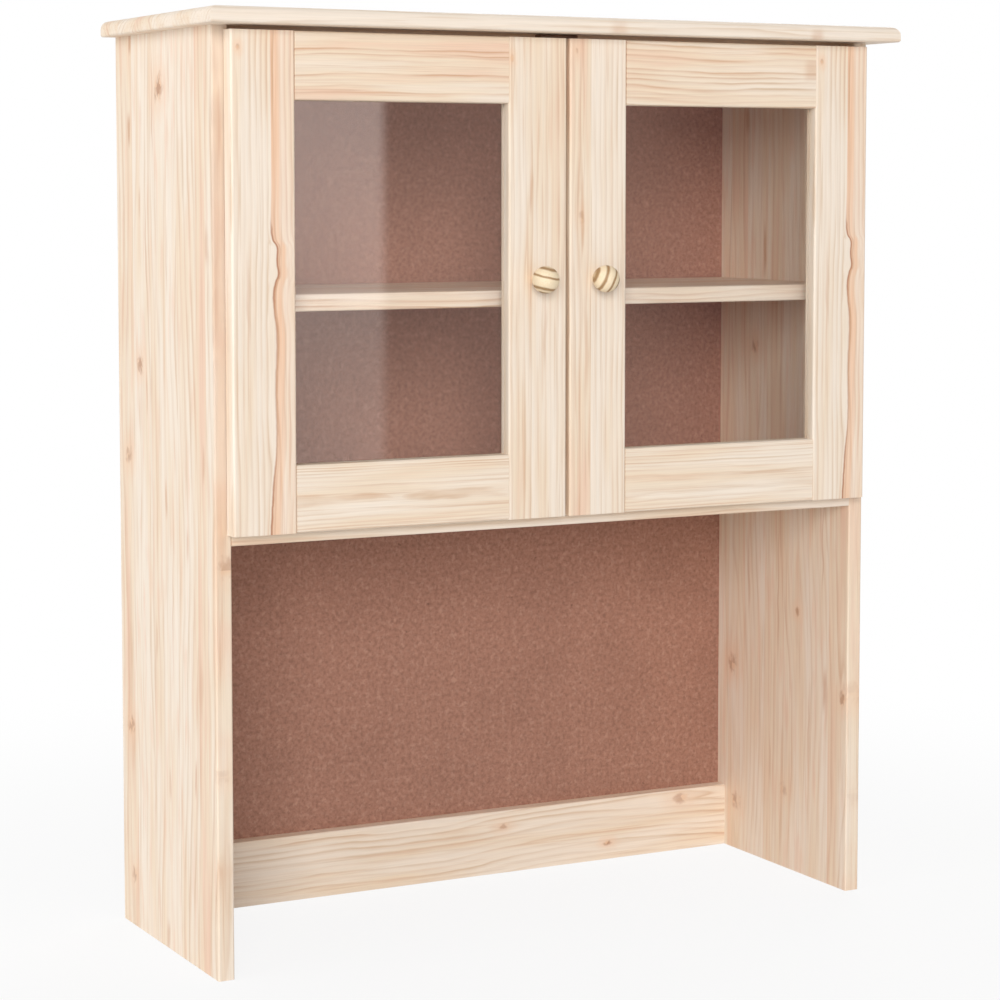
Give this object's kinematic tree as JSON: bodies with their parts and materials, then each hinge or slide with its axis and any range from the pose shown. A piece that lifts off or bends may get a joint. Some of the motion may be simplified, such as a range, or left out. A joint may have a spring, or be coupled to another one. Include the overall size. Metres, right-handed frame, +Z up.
{
  "type": "highboard",
  "caption": "Pine highboard with framed glass doors on concealed hinges, a shelf behind them, an overhanging top and an open bay below with a hardboard back.",
  "frame": {"origin": "on the ground under the middle of the whole piece's box, knobs included", "axes": "+X to the viewer's right along the width, +Y from the doors to the back, +Z up"},
  "size_m": [0.834, 0.332, 0.997],
  "materials": {
    "pine": "bare, finely sanded",
    "hardboard": "smooth, matt",
    "knob_wood": "bare, turned",
    "dowel_wood": "bare",
    "glass": "clear",
    "nickel": "nickel plated",
    "steel": "zinc plated",
    "zinc": "die cast",
    "brown_plastic": "moulded"
  },
  "bodies": {
    "carcass": {"back_panel": "hardboard", "back_panel_nails": "steel", "cabinet_floor": "pine", "cam_bolts": "steel", "cam_locks": "zinc", "catch_screws": "steel", "hinge_screws": "steel", "joint_dowels": "dowel_wood", "left_lower_hinge_arm": "nickel", "left_lower_hinge_plate": "nickel", "left_side_panel": "pine", "left_upper_hinge_arm": "nickel", "left_upper_hinge_plate": "nickel", "lower_back_rail": "pine", "magnetic_catch": "brown_plastic", "right_lower_hinge_arm": "nickel", "right_lower_hinge_plate": "nickel", "right_side_panel": "pine", "right_upper_hinge_arm": "nickel", "right_upper_hinge_plate": "nickel", "shelf": "pine", "shelf_pins": "nickel", "top_panel": "pine"},
    "left_door": {"left_door_bead_bottom": "pine", "left_door_bead_hinge_side": "pine", "left_door_bead_meeting_side": "pine", "left_door_bead_top": "pine", "left_door_bottom_rail": "pine", "left_door_dowels": "dowel_wood", "left_door_glass": "glass", "left_door_hinge_stile": "pine", "left_door_knob": "knob_wood", "left_door_knob_screw": "steel", "left_door_meeting_stile": "pine", "left_door_top_rail": "pine", "left_hinge_cup_screws": "steel", "left_hinge_pins": "nickel", "left_lower_hinge_cup": "nickel", "left_strike_plate": "nickel", "left_strike_screw": "steel", "left_upper_hinge_cup": "nickel"},
    "right_door": {"right_door_bead_bottom": "pine", "right_door_bead_hinge_side": "pine", "right_door_bead_meeting_side": "pine", "right_door_bead_top": "pine", "right_door_bottom_rail": "pine", "right_door_dowels": "dowel_wood", "right_door_glass": "glass", "right_door_hinge_stile": "pine", "right_door_knob": "knob_wood", "right_door_knob_screw": "steel", "right_door_meeting_stile": "pine", "right_door_top_rail": "pine", "right_hinge_cup_screws": "steel", "right_hinge_pins": "nickel", "right_lower_hinge_cup": "nickel", "right_strike_plate": "nickel", "right_strike_screw": "steel", "right_upper_hinge_cup": "nickel"}
  },
  "joints": [
    {"name": "left_door_hinge", "type": "hinge", "parent": "carcass", "child": "left_door", "pos_m": [-0.38181, -0.1255, 0.719], "axis": [0, 0, -1], "range_deg": [0, 95]},
    {"name": "right_door_hinge", "type": "hinge", "parent": "carcass", "child": "right_door", "pos_m": [0.38181, -0.1255, 0.719], "axis": [0, 0, 1], "range_deg": [0, 95]}
  ]
}
